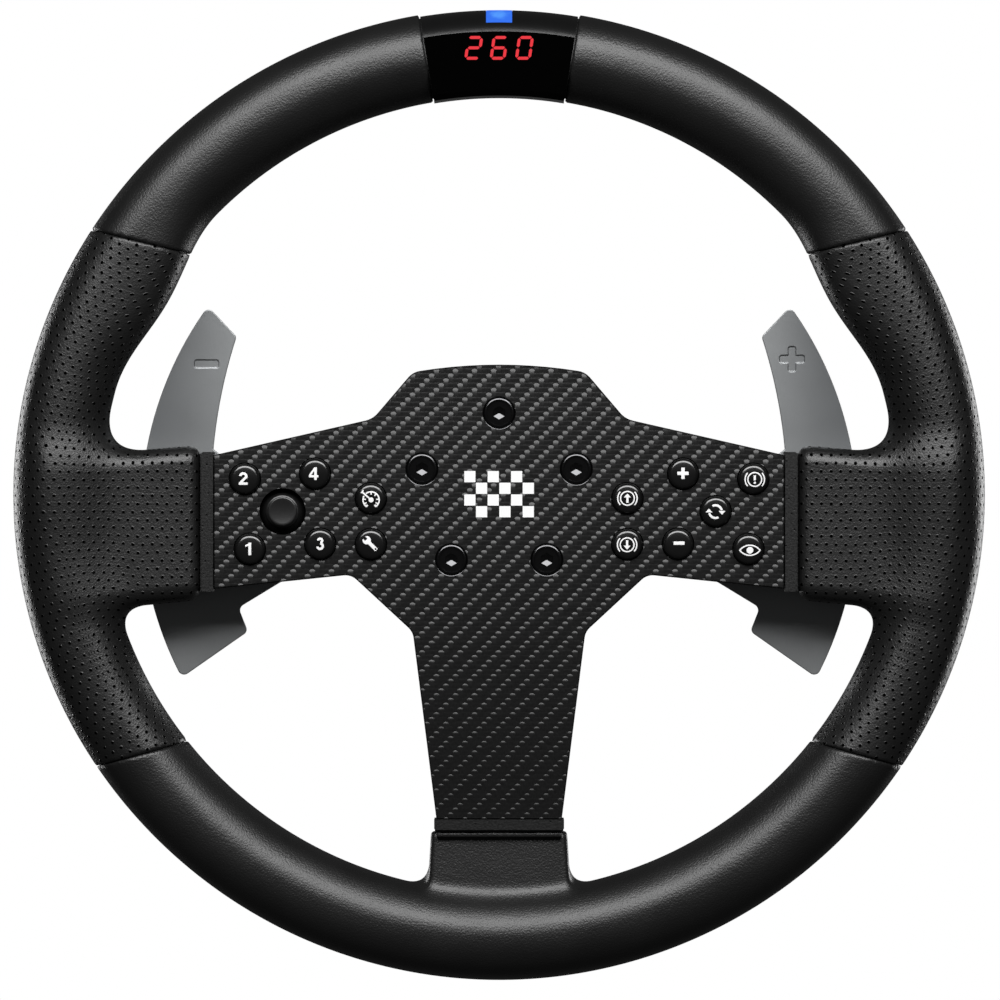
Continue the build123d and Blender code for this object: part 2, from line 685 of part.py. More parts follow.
def paddle(kind):
    blade = slab(blade_outline(), -75, -50) & blade_sheet(BLADE_FRONT, BLADE_BACK)
    blade -= slab(paddle_marks(kind), -75, -50) & blade_sheet(BLADE_FRONT - 1, BLADE_FRONT + ENGRAVING)
    for x, z in paddle_screw_points():
        blade -= paddle_screw(x, z, SLIP)
    return blade - rod(*PADDLE_SWITCH, PEG_R, BLADE_FRONT, BLADE_BACK)


def paddle_arm():
    """The plastic arm behind the blade, with its hinge barrel and the peg that works the switch."""
    root = [(51, BARREL_HALF), (PIVOT_X, BARREL_HALF), (PIVOT_X, -BARREL_HALF), (51, -BARREL_HALF)]
    outline = polygon(root + [(57, -18), (80, -13), (80, -3), (58, 4.5)])
    outline = soften(outline, [(57, -18, 3), (80, -13, 3), (80, -3, 3), (58, 4.5, 3)])
    arm = slab(outline, BLADE_BACK, ARM_BACK)
    arm += pin(PIVOT_X, BARREL_R, BARREL_HALF)
    arm += rod(*PADDLE_SWITCH, PEG_R, BLADE_FRONT - 2, BLADE_BACK)
    for x, z in paddle_screw_points():
        arm -= rod(x, z, 1.25 + SLIP, BLADE_BACK, ARM_BACK - 0.6)
    return arm - pin(PIVOT_X, PIN_R + SLIP, BARREL_HALF + 1)


def paddle_pins():
    return group(pin(side * PIVOT_X, PIN_R, BARREL_HALF + 3.7) for side in (1, -1))


def coil(radius, wire, pitch, height):
    """A compression spring standing on z = 0, its wire a helix of round section."""
    path = Helix(pitch, height, radius)
    start = Plane(origin=path @ 0, z_dir=path % 0)
    return sweep(start * Circle(wire), path)


def paddle_spring():
    gap = BLADE_FRONT - COVER_BACK
    spring = coil(2.4, 0.3, 1.3, gap - 0.8)
    x, z = PADDLE_SPRING
    return Pos(x, BLADE_FRONT - 0.4, z) * Rot(90, 0, 0) * spring


def paddle_switches():
    body = []
    for side in (1, -1):
        x, z = side * PADDLE_SWITCH[0], PADDLE_SWITCH[1]
        body.append(slab(Pos(x, z) * (Rectangle(8, 11) - Circle(2.1)), COVER_BACK, COVER_BACK + 2.6))
    return group(body)


# ---- Quick release ----
def coupling_socket():
    """The flanged tube that the steering shaft's end enters, with a hole for each locking ball."""
    outline = [
        (BORE_R, 0),
        (SOCKET_R, 0),
        (SOCKET_R, -7),
        (SOCKET_R - 1.2, -7),
        (SOCKET_R - 1.2, -8.2),
        (SOCKET_R, -8.2),
        (SOCKET_R, FLANGE_BACK),
        (FLANGE_R, FLANGE_BACK),
        (FLANGE_R, POD_BACK),
        (12, POD_BACK),
        (12, SOCKET_FLOOR - 3),
        (BORE_R, SOCKET_FLOOR - 3),
        (BORE_R, -25),
        (BORE_R + 0.6, -25),
        (BORE_R + 0.6, -BORE_DEPTH),
        (BORE_R, -BORE_DEPTH),
    ]
    socket = turned(polygon(outline))
    for x, z in bolt_points():
        socket -= rod(x, z, BOLT_R, POD_BACK, FLANGE_BACK - 0.9)
    for angle in BALL_ANGLES:
        socket -= Rot(0, angle, 0) * Pos(0, BALL_Y, 19.75) * Cylinder(BALL_R + SLIP, 8)
    return socket


def contact_block():
    """The insulator at the bottom of the socket, with its ring of spring contacts."""
    base = rod(0, 0, BORE_R - FREE, SOCKET_FLOOR - 3, SOCKET_FLOOR - 1)
    base += rod(0, 0, 11.5, POD_BACK, SOCKET_FLOOR - 3)
    places = [clock(CONTACT_CIRCLE_R, 360 * i / CONTACTS) for i in range(CONTACTS)]
    return joined([base] + [rod(x, z, CONTACT_R, SOCKET_FLOOR - 1, SOCKET_FLOOR + 0.6) for x, z in places])


def snap_ring():
    """A split ring in the socket's groove, which stops the release ring."""
    inner, outer = SOCKET_R - 1.1, SOCKET_R + 1.7
    return turned(polygon([(inner, -7.1), (outer, -7.1), (outer, -8.1), (inner, -8.1)]), 12, 348)


def release_ring():
    """The knurled ring that lets the balls go when it is pulled towards the wheel."""
    slant = math.hypot(1, RAMP)
    touch = BALL_CENTRE_R + (BALL_R + SLIP) * slant  # radius of the ramp over a ball's centre, at rest
    land = SOCKET_R + SLIP
    start, end = BALL_Y - 4.5, BALL_Y + 9.3
    outline = [
        (land, RELEASE_FRONT),
        (27.5, RELEASE_FRONT),
        (27.5, RELEASE_FRONT - RELEASE_SKIRT),
        (RELEASE_R - 0.8, RELEASE_FRONT - RELEASE_SKIRT),
        (RELEASE_R, RELEASE_FRONT - RELEASE_SKIRT + 0.8),
        (RELEASE_R, RELEASE_BACK - 1),
        (RELEASE_R - 1, RELEASE_BACK),
        (land, RELEASE_BACK),
        (land, end),
        (touch + RAMP * (end - BALL_Y), end),
        (max(touch + RAMP * (start - BALL_Y), land), start),
        (land, start),
    ]
    ring = turned(polygon([p for i, p in enumerate(outline) if p != outline[i - 1]]))
    for i in range(RIDGES):
        ring -= rod(*clock(RELEASE_R + 1.9, 360 * i / RIDGES), RIDGE_R, RELEASE_FRONT + 1, RELEASE_BACK - 4)
    return ring


def ring_spring():
    spring = coil(25.0, 0.7, 3.2, RELEASE_FRONT - FLANGE_BACK - 1.6)
    return Pos(0, RELEASE_FRONT - 0.8, 0) * Rot(90, 0, 0) * spring


def locking_ball(angle):
    x, z = clock(BALL_CENTRE_R, angle)
    return Pos(x, BALL_Y, z) * Sphere(BALL_R)


# ---- Write every piece ----
def pieces():
    made = {
        "armature": tapped_armature(),
        "grip_upper_right": upper_grip(),
        "grip_side_right": side_grip(),
        "grip_lower": lower_grip(),
        "display_housing": display_housing(),
        "display_lens": display_lens(),
        "display_board": display_board(),
        "display_digits": display_digits(),
        "marker_light": marker_light(),
        "face_plate": face_plate(),
        "emblem": emblem(),
        "spoke_trim_right": side_trim(),
        "spoke_trim_lower": lower_trim(),
        "button_tray": button_tray(),
        "button_board_right": button_board(),
        "tact_switches": tact_switches(),
        "stick_base": stick_base(),
        "stick_gimbal": stick_gimbal(),
        "stick_shaft": stick_shaft(),
        "stick_cap": stick_cap(),
        "rear_housing": rear_housing(),
        "main_board": main_board(),
        "hub_bolts": hub_bolts(),
        "housing_screws": housing_screws(),
        "paddle_right": paddle("plus"),
        "paddle_left": mirrored(paddle("minus")),
        "paddle_arm_right": paddle_arm(),
        "paddle_screws_right": paddle_screws(),
        "paddle_pins": paddle_pins(),
        "paddle_spring_right": paddle_spring(),
        "paddle_switches": paddle_switches(),
        "coupling_socket": coupling_socket(),
        "contact_block": contact_block(),
        "snap_ring": snap_ring(),
        "release_ring": release_ring(),
        "ring_spring": ring_spring(),
    }
    twins = ["grip_upper", "grip_side", "spoke_trim", "button_board"]
    twins += ["paddle_arm", "paddle_screws", "paddle_spring"]
    for name in twins:
        made[name + "_left"] = mirrored(made[name + "_right"])
    for name, (x, z) in BUTTONS.items():
        made[name] = button(x, z)
    for i, angle in enumerate(BALL_ANGLES):
        made[f"locking_ball_{i + 1}"] = locking_ball(angle)
    return made


os.makedirs("parts", exist_ok=True)
for node, shape in pieces().items():
    export_step(shape, f"parts/{node}.step")
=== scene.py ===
"""Looks for the racing wheel: leather grips, carbon-look face, controls, paddles and quick release.

Lengths are millimetres here and metres in Blender, and MM converts; only the floor and the lights are
placed in metres. Every piece is modelled in place in the CAD's frame: +X to the right, -Y out of the
face, +Z up.
"""

import json
import math

import bmesh
import bpy
import numpy as np
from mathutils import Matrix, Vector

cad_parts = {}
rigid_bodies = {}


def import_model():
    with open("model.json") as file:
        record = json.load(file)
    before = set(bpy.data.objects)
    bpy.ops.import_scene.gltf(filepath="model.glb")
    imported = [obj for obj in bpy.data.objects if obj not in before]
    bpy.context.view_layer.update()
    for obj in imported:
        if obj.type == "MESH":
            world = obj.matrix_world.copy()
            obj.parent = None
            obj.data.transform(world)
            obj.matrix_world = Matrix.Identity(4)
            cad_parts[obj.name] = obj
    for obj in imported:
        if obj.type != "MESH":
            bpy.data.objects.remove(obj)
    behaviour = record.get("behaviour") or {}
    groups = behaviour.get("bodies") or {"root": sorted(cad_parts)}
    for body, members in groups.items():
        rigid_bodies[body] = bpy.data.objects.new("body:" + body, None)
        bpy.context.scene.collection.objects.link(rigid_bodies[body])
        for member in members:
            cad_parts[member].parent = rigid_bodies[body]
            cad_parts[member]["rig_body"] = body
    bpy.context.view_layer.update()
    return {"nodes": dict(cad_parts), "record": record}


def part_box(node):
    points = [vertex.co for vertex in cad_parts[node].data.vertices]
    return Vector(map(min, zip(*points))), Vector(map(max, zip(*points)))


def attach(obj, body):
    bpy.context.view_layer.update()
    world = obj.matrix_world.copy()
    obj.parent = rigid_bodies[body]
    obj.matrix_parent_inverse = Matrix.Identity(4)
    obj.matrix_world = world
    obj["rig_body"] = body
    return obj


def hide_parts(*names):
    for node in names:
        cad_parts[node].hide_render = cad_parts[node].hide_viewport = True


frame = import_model()
NODES = frame["nodes"]
MM = 0.001


def box_mm(node):
    """A CAD node's lowest and highest corner, in millimetres."""
    low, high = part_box(node)
    return np.array(low) / MM, np.array(high) / MM


def body_of_node(node):
    return NODES[node]["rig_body"]


# ---- Places from the frame ----
RIM_LOW, RIM_HIGH = box_mm("grip_upper_right")
RIM_Y = (RIM_LOW[1] + RIM_HIGH[1]) / 2
GRIP_DEPTH = (RIM_HIGH[1] - RIM_LOW[1]) / 2
RIM_OUTER_R = -box_mm("grip_lower")[0][2]
GRIP_RADIAL = 13.65
RING_R = RIM_OUTER_R - GRIP_RADIAL
PLATE_FRONT = box_mm("face_plate")[0][1]
ROOT = body_of_node("armature")


# ---- Material graphs ----
class Look:
    """A material with a Principled shader, and short ways to add nodes to it."""

    def __init__(self, name, color, roughness, metallic=0.0, **sockets):
        self.material = bpy.data.materials.new(name)
        self.material.use_nodes = True
        self.tree = self.material.node_tree
        self.shader = self.tree.nodes["Principled BSDF"]
        grey = (color, color, color) if isinstance(color, float) else color
        self.set("Base Color", (*grey, 1.0))
        self.set("Roughness", roughness)
        self.set("Metallic", metallic)
        for socket, value in sockets.items():
            self.set(socket.replace("_", " "), value)

    def put(self, socket, value):
        if isinstance(value, bpy.types.NodeSocket):
            self.tree.links.new(value, socket)
        else:
            socket.default_value = value

    def set(self, socket, value):
        self.put(self.shader.inputs[socket], value)

    def new(self, kind, *values, **settings):
        node = self.tree.nodes.new("ShaderNode" + kind)
        for setting, value in settings.items():
            setattr(node, setting, value)
        for socket, value in zip(node.inputs, values):
            if value is not None:
                self.put(socket, value)
        return node

    def math(self, operation, *values):
        return self.new("Math", *values, operation=operation).outputs[0]

    def vector(self, operation, *values):
        return self.new("VectorMath", *values, operation=operation).outputs[0]

    def point(self):
        """The place on the object, in the CAD's frame, in millimetres."""
        place = self.new("TexCoord").outputs["Object"]
        return self.vector("MULTIPLY", place, (1 / MM, 1 / MM, 1 / MM))

    def xyz(self, vector):
        return self.new("SeparateXYZ", vector).outputs

    def step(self, value, low, high):
        """0 below low, 1 above high, smooth between; low may be the larger."""
        ends = (value, low, high, 0.0, 1.0) if low < high else (value, high, low, 1.0, 0.0)
        return self.new("MapRange", *ends, interpolation_type="SMOOTHSTEP").outputs[0]

    def range(self, value, low, high):
        """A 0 to 1 value, spread from low to high."""
        return self.new("MapRange", value, 0.0, 1.0, low, high).outputs[0]

    def noise(self, size, detail=2.0, point=None):
        """Noise with features about size millimetres across."""
        node = self.new("TexNoise")
        self.put(node.inputs["Vector"], point or self.point())
        self.put(node.inputs["Scale"], 1.0 / size)
        self.put(node.inputs["Detail"], detail)
        return node.outputs[0]

    def cells(self, size, feature="F1", point=None):
        node = self.new("TexVoronoi", feature=feature)
        self.put(node.inputs["Vector"], point or self.point())
        self.put(node.inputs["Scale"], 1.0 / size)
        return node.outputs["Distance"]

    def mix(self, factor, a, b):
        node = self.new("Mix", data_type="RGBA")
        self.put(node.inputs[0], factor)
        for socket, value in ((node.inputs[6], a), (node.inputs[7], b)):
            if isinstance(value, float):
                value = (value, value, value, 1.0)
            self.put(socket, value)
        return node.outputs[2]

    def relief(self, height, depth, normal=None):
        """Bump of a height from 0 to 1 that is depth millimetres deep."""
        node = self.new("Bump")
        self.put(node.inputs["Strength"], 1.0)
        self.put(node.inputs["Distance"], depth * MM)
        self.put(node.inputs["Height"], height)
        if normal is not None:
            self.put(node.inputs["Normal"], normal)
        self.set("Normal", node.outputs[0])
        return node.outputs[0]


HOLE_ROWS, HOLE_PITCH, HOLE_R, HOLE_DEPTH = 5.0, 3.0, 0.62, 0.3


def leather(name, perforated):
    """Fine-grained black synthetic leather; the side grips are pierced with staggered rows of holes."""
    look = Look(name, 0.02, 0.5, Specular_IOR_Level=0.5)
    warp = look.noise(6.0, 2.0)
    point = look.vector("ADD", look.point(), look.new("CombineXYZ", warp, warp, warp).outputs[0])
    pebble = look.cells(0.55, "SMOOTH_F1", point)
    crease = look.noise(0.33, 1.0, point)
    grain = look.math("ADD", look.math("MULTIPLY", pebble, -0.8), look.math("MULTIPLY", crease, 0.5))
    tone = look.noise(14.0, 3.0)
    look.set("Roughness", look.range(tone, 0.36, 0.42))
    color = look.mix(tone, 0.0045, 0.0075)
    normal = look.relief(look.noise(9.0, 2.0), 0.1)
    normal = look.relief(grain, 0.085, normal)
    if perforated:
        uv = look.new("UVMap", uv_map="skin").outputs[0]
        drift = look.new("CombineXYZ", look.noise(7.0), look.noise(5.0)).outputs[0]
        sway = look.vector("MULTIPLY", drift, (0.9, 0.7, 0))
        u, v, _ = look.xyz(look.vector("ADD", uv, sway))
        gaps = []
        for shift in (0.0, 0.5):
            across = look.math("WRAP", look.math("DIVIDE", u, HOLE_ROWS), 0.5 + shift, -0.5 + shift)
            along = look.math("WRAP", look.math("DIVIDE", v, HOLE_PITCH), 0.5 + shift, -0.5 + shift)
            a = look.math("MULTIPLY", look.math("SUBTRACT", across, shift), HOLE_ROWS)
            b = look.math("MULTIPLY", look.math("SUBTRACT", along, shift), HOLE_PITCH)
            squares = look.math("ADD", look.math("MULTIPLY", a, a), look.math("MULTIPLY", b, b))
            gaps.append(look.math("SQRT", squares))
        gap = look.math("MINIMUM", *gaps)
        look.relief(look.step(gap, 0.0, HOLE_R), HOLE_DEPTH, normal)
        # Painted shade: the holes' cores are painted near-black and lose their specular, standing in for the
        # dark inside of each hole.
        painted_hole_shade = look.step(gap, HOLE_R * 0.5, HOLE_R * 0.8)
        color = look.mix(painted_hole_shade, 0.0002, color)
        look.set("Specular IOR Level", look.range(painted_hole_shade, 0.0, 0.5))
    look.set("Base Color", color)
    return look.material


TOW = 1.47
WEAVE_X, WEAVE_Z = 0.55, -2.35  # a corner between tows
WEAVE_LOW, WEAVE_HIGH = -95.0, 45.0  # the tows' relief and their painted sheen change between these heights


def carbon():
    """Two-over-two twill under matt lacquer: an upright tow dips at its top end, where it goes under."""
    look = Look("carbon_face", 0.006, 0.3, Specular_IOR_Level=0.3)
    x, _, z = look.xyz(look.point())
    column = look.math("DIVIDE", look.math("SUBTRACT", x, WEAVE_X), TOW)
    row = look.math("DIVIDE", look.math("SUBTRACT", z, WEAVE_Z), TOW)
    side = look.math("SUBTRACT", look.math("FRACT", column), 0.5)
    above = look.math("SUBTRACT", row, look.math("FLOOR", column))
    # 0 low on the plate and 1 high up: it sets the tows' relief and fades their painted sheen
    high = look.step(z, WEAVE_LOW, WEAVE_HIGH)
    start = look.range(high, 1.4, 0.7)
    curve = look.math("MULTIPLY", look.range(high, 0.36, 0.17), TOW)

    def upright_tow(columns_right):
        """Where an upright tow shows, how far up it a point is, and its dip; its end is wider than it."""
        aside = look.math("SUBTRACT", side, float(columns_right))
        along = look.math("WRAP", look.math("SUBTRACT", above, float(columns_right)), 4.0, 0.0)
        bow = look.math("MULTIPLY", look.math("MULTIPLY", aside, aside), 0.8)
        shown = look.step(look.math("SUBTRACT", look.math("SUBTRACT", 2.0, bow), along), 0.0, 0.1)
        half = look.math("ADD", look.math("MULTIPLY", look.step(along, 1.1, 1.6), 0.16), 0.5)
        past_side = look.math("SUBTRACT", look.math("ABSOLUTE", aside), half)
        shown = look.math("MULTIPLY", shown, look.step(past_side, 0.0, -0.06))
        rise = look.math("MAXIMUM", look.math("SUBTRACT", along, start), 0.0)
        return shown, along, look.math("MULTIPLY", shown, look.math("MULTIPLY", rise, rise))

    within, along, dip = upright_tow(0)
    for columns_right in (-1, 1):
        dip = look.math("MAXIMUM", dip, upright_tow(columns_right)[2])
    arch = look.math("MULTIPLY", dip, curve)
    edge = look.math("MAXIMUM", look.math("SUBTRACT", look.math("FRACT", row), 0.55), 0.0)
    across = look.math("MULTIPLY", look.math("SUBTRACT", 1.0, within), look.range(high, 0.06, 0.21))
    hollow = look.math("ADD", arch, look.math("MULTIPLY", across, look.math("MULTIPLY", edge, edge)))
    fibre = look.noise(1.0, 3.0, look.vector("MULTIPLY", look.point(), (5.0, 1.0, 0.8)))
    uneven = look.noise(2.6, 2.0)
    height = look.math("SUBTRACT", look.math("MULTIPLY", fibre, 0.02), hollow)
    look.relief(look.math("ADD", height, look.math("MULTIPLY", uneven, 0.08)), 1.0)
    # Painted sheen: the upright tows' upper parts are painted lighter than the rest, standing in for the
    # light they catch, fading out towards the bottom of the plate.
    painted_tow_sheen = look.math("MULTIPLY", look.math("MULTIPLY", within, look.step(along, 0.0, 0.9)), high)
    thread = look.mix(look.step(fibre, 0.35, 0.7), 0.0025, 0.0055)
    look.set("Base Color", look.mix(painted_tow_sheen, thread, look.mix(fibre, 0.01, 0.022)))
    look.set("Roughness", look.range(fibre, 0.28, 0.36))
    return look.material


def moulded(name, color, roughness, grain, depth, fleck=0.5):
    """Moulded plastic with a spark-eroded texture: grain millimetres across and depth deep."""
    look = Look(name, color, roughness)
    pits = look.noise(grain, 3.0)
    look.set("Base Color", look.mix(look.step(pits, 0.42, 0.66), color * (1 - fleck), color * (1 + fleck)))
    look.set("Roughness", look.range(look.noise(18.0), roughness - 0.05, roughness + 0.08))
    look.relief(pits, depth)
    return look.material


def speckled():
    """Grained black trim with fine pin holes."""
    look = Look("textured_trim", 0.006, 0.4)
    coarse = look.noise(0.7, 2.0)
    fine = look.noise(0.33, 2.0)
    grain = look.math("ADD", look.math("MULTIPLY", coarse, 0.6), look.math("MULTIPLY", fine, 0.4))
    pin = look.step(look.cells(2.1), 0.1, 0.2)
    look.set("Base Color", look.mix(look.step(grain, 0.42, 0.6), 0.003, 0.009))
    look.set("Roughness", look.range(coarse, 0.34, 0.44))
    look.set("Specular IOR Level", look.range(pin, 0.0, 0.4))
    look.relief(look.math("ADD", look.math("MULTIPLY", grain, 0.7), look.math("MULTIPLY", pin, 0.3)), 0.13)
    return look.material


def gloss(name, color, roughness, wear=0.04, specular=0.5):
    """Polished black plastic with the faint unevenness of real mouldings."""
    shine = {"Specular_IOR_Level": specular, "Coat_Weight": specular, "Coat_Roughness": 0.05}
    look = Look(name, color, roughness, **shine)
    look.set("Roughness", look.range(look.noise(11.0, 4.0), roughness, roughness + wear))
    look.relief(look.noise(22.0, 1.0), 0.05)
    return look.material


PAINTED_SHADE_START, PAINTED_SHADE_END = 76.0, 108.0  # a paddle's painted shade fades in between these distances to the side
PAINTED_SHADE_LOW, PAINTED_SHADE_HIGH = -8.0, 22.0  # and between these heights
BLADE_ROUND = 0.45


def metal(name, color, roughness, lines=(1.0, 1.0, 1.0), depth=0.004, spread=0.12, painted_shade=None):
    """Metal with drawn or brushed lines; lines squeezes the grain along each axis. The last argument is
    a painted shade: the darker colour that a paddle fades to, outwards and upwards, and a paddle's edges are
    shaded as if rounded."""
    look = Look(name, color, roughness, metallic=1.0)
    brushed = look.noise(0.5, 4.0, look.vector("MULTIPLY", look.point(), lines))
    broad = look.noise(16.0, 3.0)
    look.set("Roughness", look.range(look.math("MULTIPLY", look.math("ADD", brushed, broad), 0.5),
                                     roughness - spread / 2, roughness + spread / 2))
    shade = tuple(c * 0.82 for c in color)
    tone = look.mix(brushed, (*shade, 1.0), (*color, 1.0))
    if painted_shade:
        # Painted shade: the paddle's colour darkens outwards and upwards, standing in for the light falling
        # off there.
        x, _, z = look.xyz(look.point())
        painted_shade_outwards = look.step(look.math("ABSOLUTE", x), PAINTED_SHADE_START, PAINTED_SHADE_END)
        outer = look.math("MULTIPLY", painted_shade_outwards, look.step(z, PAINTED_SHADE_LOW, PAINTED_SHADE_HIGH))
        tone = look.mix(outer, tone, (*painted_shade, 1.0))
    look.set("Base Color", tone)
    edges = look.new("Bevel", BLADE_ROUND * MM, samples=6).outputs[0] if painted_shade else None
    look.relief(brushed, depth, edges)
    return look.material


def glow(name, color, edge, node):
    """A lit light guide over a near-black body, its colour deepening away from the node's middle."""
    look = Look(name, tuple(c * 0.06 for c in color), 0.3)
    low, high = box_mm(node)
    place = look.vector("SUBTRACT", look.point(), tuple((low + high) / 2))
    span = tuple(2 / np.maximum(high - low, 0.5))
    away = look.new("VectorMath", look.vector("MULTIPLY", place, span), operation="LENGTH").outputs["Value"]
    cloud = look.math("MULTIPLY", look.math("SUBTRACT", look.noise(1.4, 1.0), 0.5), 0.5)
    tone = look.mix(look.step(look.math("ADD", away, cloud), 0.3, 1.15), (*color, 1.0), (*edge, 1.0))
    look.set("Emission Color", tone)
    look.set("Emission Strength", 1.0)
    return look.material


def printed(name, color):
    look = Look(name, color, 0.45)
    look.set("Base Color", look.mix(look.noise(0.5, 3.0), color * 0.94, color))
    look.relief(look.noise(0.2, 2.0), 0.006)
    return look.material


def board():
    """Green solder mask with a fine pattern of tracks."""
    look = Look("circuit_board", (0.01, 0.06, 0.025), 0.35)
    x, _, z = look.xyz(look.point())
    tracks = look.math("PINGPONG", look.math("ADD", x, look.math("MULTIPLY", look.noise(9.0, 0.0), 6.0)), 0.6)
    copper = look.step(tracks, 0.38, 0.44)
    look.set("Base Color", look.mix(copper, (0.006, 0.05, 0.02, 1), (0.03, 0.12, 0.05, 1)))
    look.relief(copper, 0.03)
    return look.material


MATERIALS = {
    "smooth_leather": leather("smooth_leather", False),
    "perforated_leather": leather("perforated_leather", True),
    "carbon_face": carbon(),
    "textured_trim": speckled(),
    "gloss_black": gloss("gloss_black", 0.003, 0.2),
    "display_lens": gloss("display_lens", 0.0002, 0.08, 0.02, 0.1),
    "button_black": gloss("button_black", 0.003, 0.19, 0.06),
    "red_light": glow("red_light", (0.86, 0.016, 0.032), (0.74, 0.012, 0.024), "display_digits"),
    "blue_light": glow("blue_light", (0.098, 0.35, 0.95), (0.026, 0.14, 0.8), "marker_light"),
    "white_print": printed("white_print", 0.8),
    "black_plastic": moulded("black_plastic", 0.018, 0.5, 0.5, 0.05),
    "switch_plastic": moulded("switch_plastic", 0.03, 0.5, 0.4, 0.03),
    "stick_rubber": moulded("stick_rubber", 0.009, 0.3, 0.3, 0.012, 0.25),
    "black_bolt": metal("black_bolt", (0.07, 0.07, 0.072), 0.17, spread=0.06),
    # the paddles' metal fades to a painted shade towards their outer, upper parts
    "paddle_metal": metal(
        "paddle_metal", (0.34, 0.35, 0.355), 0.4, (6.0, 1.0, 0.35), 0.006, painted_shade=(0.17, 0.177, 0.182)
    ),
    "steel": metal("steel", (0.58, 0.58, 0.59), 0.28),
    "coupling_metal": metal("coupling_metal", (0.09, 0.09, 0.095), 0.38, (1.0, 0.3, 1.0)),
    "ring_metal": metal("ring_metal", (0.05, 0.05, 0.053), 0.4),
    "cast_metal": metal("cast_metal", (0.42, 0.42, 0.43), 0.55, depth=0.05),
    "circuit_board": board(),
}


def dress(node, material):
    """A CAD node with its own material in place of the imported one."""
    mesh = NODES[node].data
    mesh.materials.clear()
    mesh.materials.append(material)


for part in frame["record"]["subparts"]:
    dress(part["node"], MATERIALS[part["material_slot"]])


# ---- New pieces ----
def add_piece(name, points_mm, faces, slot_name, body, replaces=(), sharp=None):
    """A mesh piece in place, which rides on a body and may stand for CAD nodes.

    sharp is the angle, in degrees, from which an edge shows; without it the whole piece is smooth."""
    mesh = bpy.data.meshes.new(name)
    mesh.from_pydata((np.asarray(points_mm, float) * MM).tolist(), [], [list(map(int, f)) for f in faces])
    mesh.validate()
    mesh.polygons.foreach_set("use_smooth", [True] * len(mesh.polygons))
    if sharp:
        whole = bmesh.new()
        whole.from_mesh(mesh)
        bmesh.ops.recalc_face_normals(whole, faces=whole.faces)
        whole.to_mesh(mesh)
        whole.free()
        mesh.set_sharp_from_angle(angle=math.radians(sharp))
    mesh.materials.append(MATERIALS[slot_name])
    piece = bpy.data.objects.new(name, mesh)
    bpy.context.scene.collection.objects.link(piece)
    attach(piece, body)
    if replaces:
        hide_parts(*replaces)
    return piece


SIDES = {"right": 1, "left": -1}


def on_side(points, quads, side):
    """A skin made on the right, as it is or mirrored to the left with its faces still outwards."""
    return points * (SIDES[side], 1, 1), quads if side == "right" else quads[:, ::-1]


# ---- Smooth skins from fields ----
def smooth_min(a, b, reach):
    """The lesser of two fields, with a fillet that starts reach away from where they meet."""
    h = np.clip(reach - np.abs(a - b), 0, None) / reach
    return np.minimum(a, b) - h * h * reach / 4


def smooth_max(a, b, reach):
    return -smooth_min(-a, -b, reach)


def net(field, low, high, step):
    """A closed quad mesh of the surface where a field is zero, by surface nets, drawn onto the surface."""
    step = np.broadcast_to(step, 3)
    axes = [np.arange(lo, hi + s, s) for lo, hi, s in zip(low, high, step)]
    values = field(*np.meshgrid(*axes, indexing="ij"))
    shape = values.shape
    inside = values < 0
    total = np.zeros((np.prod(shape), 3))
    count = np.zeros(np.prod(shape))
    quads = []
    for axis in range(3):
        first = [slice(None)] * 3
        second = [slice(None)] * 3
        first[axis], second[axis] = slice(0, -1), slice(1, None)
        a, b = values[tuple(first)], values[tuple(second)]
        at = np.argwhere(inside[tuple(first)] != inside[tuple(second)])
        va, vb = a[tuple(at.T)], b[tuple(at.T)]
        crossing = np.stack([axes[i][at[:, i]] for i in range(3)], 1)
        crossing[:, axis] += step[axis] * va / (va - vb)
        others = [i for i in range(3) if i != axis]
        around = []
        for back in ((0, 0), (1, 0), (1, 1), (0, 1)):
            cell = at.copy()
            cell[:, others[0]] -= back[0]
            cell[:, others[1]] -= back[1]
            flat = np.ravel_multi_index(cell.T, shape)
            np.add.at(total, flat, crossing)
            np.add.at(count, flat, 1)
            around.append(flat)
        quad = np.stack(around, 1)
        turn = (va < 0) if axis != 1 else (va >= 0)
        quad[turn] = quad[turn][:, ::-1]
        quads.append(quad)
    used = np.nonzero(count)[0]
    points = total[used] / count[used, None]
    number = np.zeros(len(count), int)
    number[used] = np.arange(len(used))
    reach = step.min() / 40
    for _ in range(4):
        f = field(*points.T)
        slope = np.stack([(field(*(points + reach * e).T) - f) / reach for e in np.eye(3)], 1)
        move = f[:, None] * slope / np.maximum((slope**2).sum(1), 1e-6)[:, None]
        points -= np.clip(move, -step / 2, step / 2)
    return points, number[np.concatenate(quads)]


# ---- Grips ----
BULGE_ANGLE, BULGE_HALF, BULGE_RISE = 60.0, 15.0, 4.4
INNER_POWER, OUTER_POWER = 1.9, 2.35
POD_ANGLE = 9.5  # half the angle that the display pod takes up
SEAM_GAP, SEAM_ROLL = 0.08, 0.5
UPPER_SEAM = ((95.2, 73.9), (125.4, 81.3))
LOWER_SEAM = ((97.0, -76.4), (123.8, -83.8))


def rim_field(x, y, z):
    """The ring, squarer outside than inside, and swollen inwards where the thumbs rest."""
    radius = np.hypot(x, z)
    angle = np.degrees(np.arctan2(np.abs(x), z))
    off = np.clip(np.abs(angle - BULGE_ANGLE) / BULGE_HALF, 0, 1)
    swell = BULGE_RISE * np.cos(off * math.pi / 2) ** 2
    u = radius - RING_R
    half = GRIP_RADIAL + np.where(u < 0, swell, 0)
    power = np.where(u < 0, INNER_POWER + swell / BULGE_RISE, OUTER_POWER)
    across, deep = np.abs(u / half), np.abs((y - RIM_Y) / GRIP_DEPTH)
    return ((across**power + deep**power) ** (1 / power) - 1) * GRIP_RADIAL


